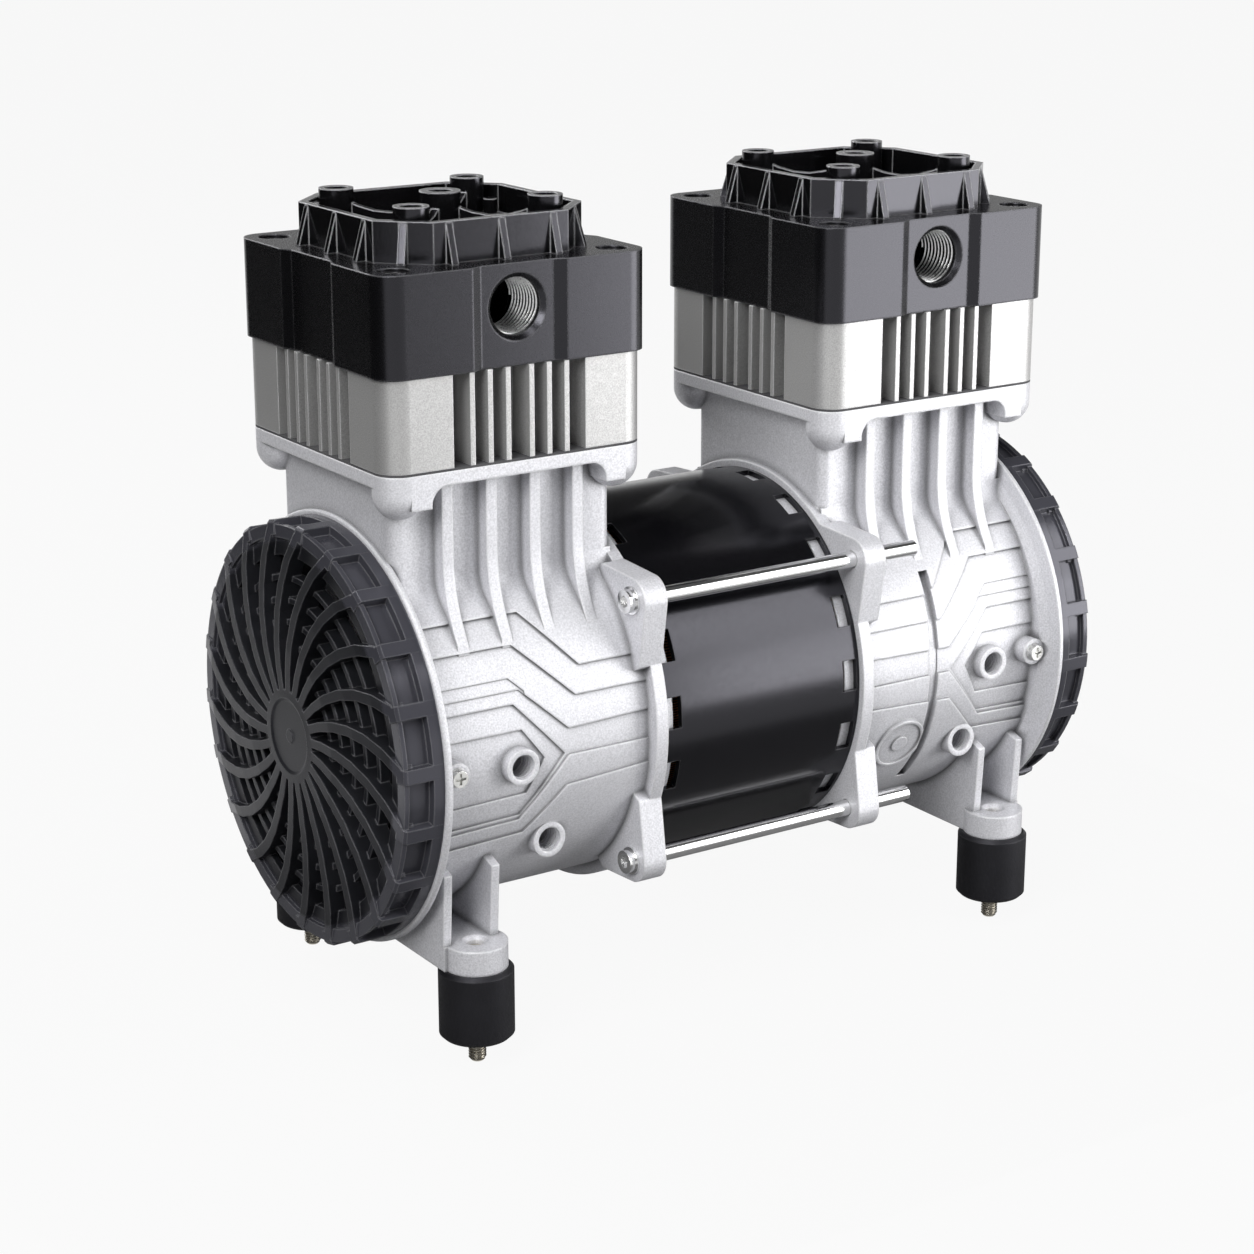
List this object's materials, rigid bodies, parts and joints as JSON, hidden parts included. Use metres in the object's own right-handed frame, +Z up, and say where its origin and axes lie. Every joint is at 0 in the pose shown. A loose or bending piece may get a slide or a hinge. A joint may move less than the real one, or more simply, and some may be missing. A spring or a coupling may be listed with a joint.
{
  "type": "vacuum pump",
  "caption": "Oil-free piston vacuum pump with cylinder heads over a horizontal motor, fans behind round spiral guards and rubber feet with studs.",
  "frame": {"origin": "under the middle of the pump, level with the tips of the foot studs", "axes": "+X along the motor shaft, -Y towards the side with the suction ports, +Z up"},
  "size_m": [0.2966, 0.148, 0.281],
  "materials": {
    "cast_aluminium": "shot-blasted die casting",
    "machined_aluminium": "blasted faces, milled edges",
    "hard_anodised_liner": "honed",
    "rod_aluminium": "as machined",
    "plate_steel": "ground",
    "spring_steel": "polished",
    "lamination_steel": "varnished",
    "bearing_steel": "ground",
    "zinc_steel": "zinc plated",
    "black_steel": "black oxide",
    "black_casting": "satin black coating",
    "gloss_black_cover": "gloss black coating",
    "gloss_black_can": "gloss black paint",
    "copper_wire": "enamelled",
    "guard_plastic": "fine texture",
    "fan_plastic": "moulded",
    "ptfe": "filled",
    "fibre_gasket": "fibre",
    "foot_rubber": "matt",
    "seal_rubber": "matt"
  },
  "bodies": {
    "pump": {"crankcase_left": "cast_aluminium", "crankcase_right": "cast_aluminium", "base_gasket_left": "fibre_gasket", "base_gasket_right": "fibre_gasket", "cylinder_block_left": "machined_aluminium", "cylinder_block_right": "machined_aluminium", "cylinder_liner_left": "hard_anodised_liner", "cylinder_liner_right": "hard_anodised_liner", "valve_plate_left": "plate_steel", "valve_plate_right": "plate_steel", "reed_valves_left": "spring_steel", "reed_valves_right": "spring_steel", "head_seal_left": "seal_rubber", "head_seal_right": "seal_rubber", "cylinder_head_left": "black_casting", "cylinder_head_right": "black_casting", "head_cover_left": "gloss_black_cover", "head_cover_right": "gloss_black_cover", "head_screws_left": "zinc_steel", "head_screws_right": "zinc_steel", "cover_screws_left": "black_steel", "cover_screws_right": "black_steel", "fan_guard_left": "guard_plastic", "fan_guard_right": "guard_plastic", "guard_screws": "zinc_steel", "motor_can": "gloss_black_can", "stator_core": "lamination_steel", "stator_windings": "copper_wire", "tie_rods": "zinc_steel", "rubber_foot_front_left": "foot_rubber", "rubber_foot_front_right": "foot_rubber", "rubber_foot_rear_left": "foot_rubber", "rubber_foot_rear_right": "foot_rubber", "foot_studs": "zinc_steel", "main_bearing_outer_left": "bearing_steel", "main_bearing_outer_right": "bearing_steel"},
    "shaft": {"motor_shaft": "bearing_steel", "rotor_core": "lamination_steel", "eccentric_left": "black_steel", "eccentric_right": "black_steel", "main_bearing_inner_left": "bearing_steel", "main_bearing_inner_right": "bearing_steel", "crank_bearing_inner_left": "bearing_steel", "crank_bearing_inner_right": "bearing_steel", "fan_left": "fan_plastic", "fan_right": "fan_plastic", "fan_nuts": "zinc_steel"},
    "rod_left": {"connecting_rod_left": "rod_aluminium", "crank_bearing_outer_left": "bearing_steel", "wrist_pin_left": "bearing_steel"},
    "piston_left": {"piston_left": "rod_aluminium", "piston_rings_left": "ptfe"},
    "rod_right": {"connecting_rod_right": "rod_aluminium", "crank_bearing_outer_right": "bearing_steel", "wrist_pin_right": "bearing_steel"},
    "piston_right": {"piston_right": "rod_aluminium", "piston_rings_right": "ptfe"}
  },
  "joints": [
    {"name": "shaft_spin", "type": "hinge", "parent": "pump", "child": "shaft", "pos_m": [0, 0, 0.104], "axis": [1, 0, 0], "continuous": true},
    {"name": "crank_pin_left", "type": "hinge", "parent": "shaft", "child": "rod_left", "pos_m": [-0.0862, 0, 0.11], "axis": [1, 0, 0], "continuous": true},
    {"name": "crank_pin_right", "type": "hinge", "parent": "shaft", "child": "rod_right", "pos_m": [0.0862, 0, 0.098], "axis": [1, 0, 0], "continuous": true},
    {"name": "piston_stroke_left", "type": "slide", "parent": "pump", "child": "piston_left", "axis": [0, 0, 1], "range_m": [-0.012, 0]},
    {"name": "piston_stroke_right", "type": "slide", "parent": "pump", "child": "piston_right", "axis": [0, 0, 1], "range_m": [0, 0.012]}
  ],
  "couplings": [
    {"joint": "crank_pin_left", "follows": "shaft_spin", "ratio": -1},
    {"joint": "crank_pin_right", "follows": "shaft_spin", "ratio": -1}
  ]
}
